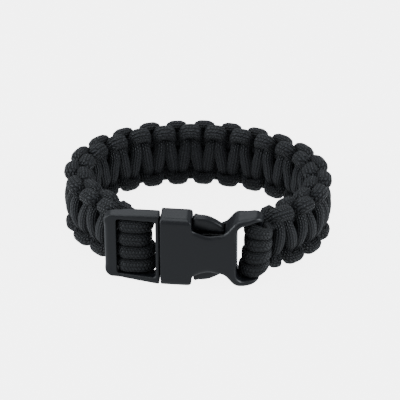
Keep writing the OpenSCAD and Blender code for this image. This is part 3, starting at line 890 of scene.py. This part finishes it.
def swell_arms(bm, begin, middle_z, grid):
    """Swells the release arms a little further out, and rounds them like a thumb pad."""
    arms = [v for v in bm.verts if v.co.x > begin + 0.1 * MM and abs(v.co.z - middle_z) > ARM_LOW]
    for vert in arms:
        share = (vert.co.x - begin) / OPENING_LENGTH
        high = ease((abs(vert.co.z - middle_z) - ARM_LOW) / (3 * MM))
        swell = (ARM_SWELL + ARM_SWELL_MORE * ease(2 * share)) * high * MM
        vert.co.z += math.copysign(swell, vert.co.z - middle_z)
    pads = [v for v in arms if abs(v.co.z - middle_z) > PAD_LOW]
    soften(bm, pads, PAD_EDGE_NEAR, grid)
    soften(bm, [v for v in pads if v.co.x > begin + 1.2 * MM], PAD_EDGE, grid)


def lean_out(bm, left, frame_length, seam, middle_z):
    """Leans the frame's lower bar out towards the seam, to meet the socket's face."""
    for vert in bm.verts:
        if vert.co.x < seam and vert.co.z < middle_z:
            share = min(1, max(0, (vert.co.x - left - LEAN_BEGIN) / (frame_length - LEAN_BEGIN)))
            vert.co.y -= LEAN * share * (1 - vert.co.z / middle_z) ** 3


class BRACELET_OT_buckle(bpy.types.Operator):
    """Gives both halves of the buckle their moulded finish"""

    bl_idname = "bracelet.buckle"
    bl_label = "Finish the Buckle"

    def execute(self, context):
        buckle = context.scene.bracelet_buckle
        course = Course(context.scene)
        middle_y, middle_z = course.buckle_y + course.moved.y, buckle.height / 2
        seam = course.seam_x + course.moved.x
        begin = seam + buckle.seam / 2 + buckle.mouth_length
        left = seam - buckle.seam / 2 - buckle.frame_length
        right = seam + buckle.seam / 2 + buckle.housing_length
        low, high = buckle.frame_taper, buckle.height - buckle.frame_taper
        for node, name in (("female_half", "socket_half"), ("male_half", "plug_half")):
            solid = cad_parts[node]
            solid.data.materials.clear()
            solid.data.materials.append(moulded_acetal(context.scene))
            bm = bmesh.new()
            bm.from_mesh(solid.data)
            bmesh.ops.remove_doubles(bm, verts=bm.verts, dist=0.02 * MM)
            # The surface is rebuilt as an even grid, and its edges are then rounded as a mould's are.
            piece = add_piece(name, bm, moulded_acetal(context.scene))
            bm = even_surface(context, piece, buckle.grid)
            soften(bm, bm.verts, buckle.edge, buckle.grid)
            if node == "female_half":
                raise_rims(bm, begin, middle_y, middle_z, buckle.grid)
                tighten_corner(bm, (right, buckle.height), (-1, -1), buckle.source_tail_corner, buckle.tail_corner)
            else:
                swell_arms(bm, begin, middle_z, buckle.grid)
                lean_out(bm, left, buckle.frame_length, seam, middle_z)
                for corner, inward in (((left, low), (1, 1)), ((left, high), (1, -1))):
                    tighten_corner(bm, corner, inward, buckle.source_corner, buckle.frame_corner)
            for face in bm.faces:
                face.smooth = True
            bm.to_mesh(piece.data)
            bm.free()
            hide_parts(node)
        return {"FINISHED"}


# ---------------- the stage

FLOOR_SIZE, CARD_SIZE = 3, 1.5
# Soft boxes: (name, place in metres, size in metres, power in watts)
SOFT_BOXES = (
    ("overhead softbox", (-0.15, 0, 0.75), 0.7, 3.4),
    ("back softbox", (-0.10, 0.60, 0.50), 0.4, 0.6),
    ("front softbox", (-0.45, -0.65, 0.35), 0.45, 0.8),
    ("right softbox", (0.65, -0.10, 0.30), 0.45, 5),
    ("left softbox", (-0.60, -0.10, 0.30), 0.45, 4),
    ("low softbox", (-0.42, -0.30, 0.12), 0.3, 0.3),
)
# Strength of the light that comes from all round
ROOM_LIGHT = 0.40
# What the lights point at, and how far the camera aims to the right of that and above it, in millimetres
AIM = (0, 0, 10 * MM)
AIM_RIGHT, AIM_UP = 0.917, 0.680


def add_sheet(scene, name, size, level, material):
    """A flat square sheet. size is half its width, and size and level are in metres."""
    bm = bmesh.new()
    bmesh.ops.create_grid(bm, x_segments=8, y_segments=8, size=size, matrix=Matrix.Translation((0, 0, level)))
    mesh = bpy.data.meshes.new(name)
    bm.to_mesh(mesh)
    bm.free()
    mesh.materials.append(material)
    sheet = bpy.data.objects.new(name, mesh)
    scene.collection.objects.link(sheet)
    return sheet


class BRACELET_OT_studio(bpy.types.Operator):
    """Sets the floor, the lights and the camera"""

    bl_idname = "bracelet.studio"
    bl_label = "Set Up the Studio"

    def execute(self, context):
        scene = context.scene
        studio = scene.bracelet_studio
        floor = add_sheet(scene, "floor", FLOOR_SIZE, 0, studio_paper(scene))
        # The floor is lit as brightly as studio paper is, without throwing that light back on the dark cord.
        floor.visible_diffuse = False
        floor.visible_glossy = False

        # A dimmer card in the floor's place, unseen by the camera, gives the plastic and the cord a floor to mirror.
        card = add_sheet(scene, "bounce_card", CARD_SIZE, -MM, bounce_paper())
        card.visible_camera = False
        card.visible_shadow = False
        card.visible_diffuse = False

        world = bpy.data.worlds.new("studio")
        world.use_nodes = True
        background = world.node_tree.nodes["Background"]
        background.inputs["Color"].default_value = (*DAYLIGHT, 1)
        background.inputs["Strength"].default_value = ROOM_LIGHT
        scene.world = world

        aim = Vector(AIM)
        for name, place, size, power in SOFT_BOXES:
            data = bpy.data.lights.new(name, "AREA")
            data.shape = "SQUARE"
            data.size = size
            data.energy = power
            data.color = DAYLIGHT
            light = bpy.data.objects.new(name, data)
            light.location = place
            light.rotation_euler = (aim - Vector(place)).to_track_quat("-Z", "Y").to_euler()
            scene.collection.objects.link(light)

        a, e = studio.azimuth, studio.elevation
        back = Vector((math.sin(a) * math.cos(e), -math.cos(a) * math.cos(e), math.sin(e)))
        right = Vector((math.cos(a), math.sin(a), 0))
        up = back.cross(right)
        target = aim + right * AIM_RIGHT * MM + up * AIM_UP * MM
        data = bpy.data.cameras.new("camera")
        data.sensor_width = 36
        data.lens = studio.focal
        data.clip_start = 0.05
        camera = bpy.data.objects.new("camera", data)
        camera.location = target + back * studio.distance
        camera.rotation_euler = back.to_track_quat("Z", "Y").to_euler()
        scene.collection.objects.link(camera)
        scene.camera = camera
        return {"FINISHED"}


# ---------------- the sidebar, and running it all


class BRACELET_PT_sidebar(bpy.types.Panel):
    """Lists the bracelet's settings, each group with its operator"""

    bl_label = "Paracord Bracelet"
    bl_space_type = "VIEW_3D"
    bl_region_type = "UI"
    bl_category = "Bracelet"

    def draw(self, context):
        for label, group, operator in (
            ("Band", "bracelet_band", BRACELET_OT_weave),
            ("Cord", "bracelet_cord", BRACELET_OT_end_cords),
            ("Buckle", "bracelet_buckle", BRACELET_OT_buckle),
            ("Studio", "bracelet_studio", BRACELET_OT_studio),
        ):
            box = self.layout.box()
            box.label(text=label)
            settings = getattr(context.scene, group)
            for key in settings.__annotations__:
                box.prop(settings, key)
            box.operator(operator.bl_idname)


GROUPS = (
    ("bracelet_band", BandSettings),
    ("bracelet_cord", CordSettings),
    ("bracelet_buckle", BuckleSettings),
    ("bracelet_studio", StudioSettings),
)
CLASSES = tuple(group for _, group in GROUPS) + (
    BRACELET_OT_weave,
    BRACELET_OT_end_cords,
    BRACELET_OT_buckle,
    BRACELET_OT_studio,
    BRACELET_PT_sidebar,
)


def register():
    for cls in CLASSES:
        bpy.utils.register_class(cls)
    for name, group in GROUPS:
        setattr(bpy.types.Scene, name, PointerProperty(type=group))


def unregister():
    for name, _ in GROUPS:
        delattr(bpy.types.Scene, name)
    for cls in reversed(CLASSES):
        bpy.utils.unregister_class(cls)


def main():
    register()
    bpy.ops.bracelet.weave()
    bpy.ops.bracelet.end_cords()
    bpy.ops.bracelet.buckle()
    bpy.ops.bracelet.studio()


if __name__ == "__main__":
    main()
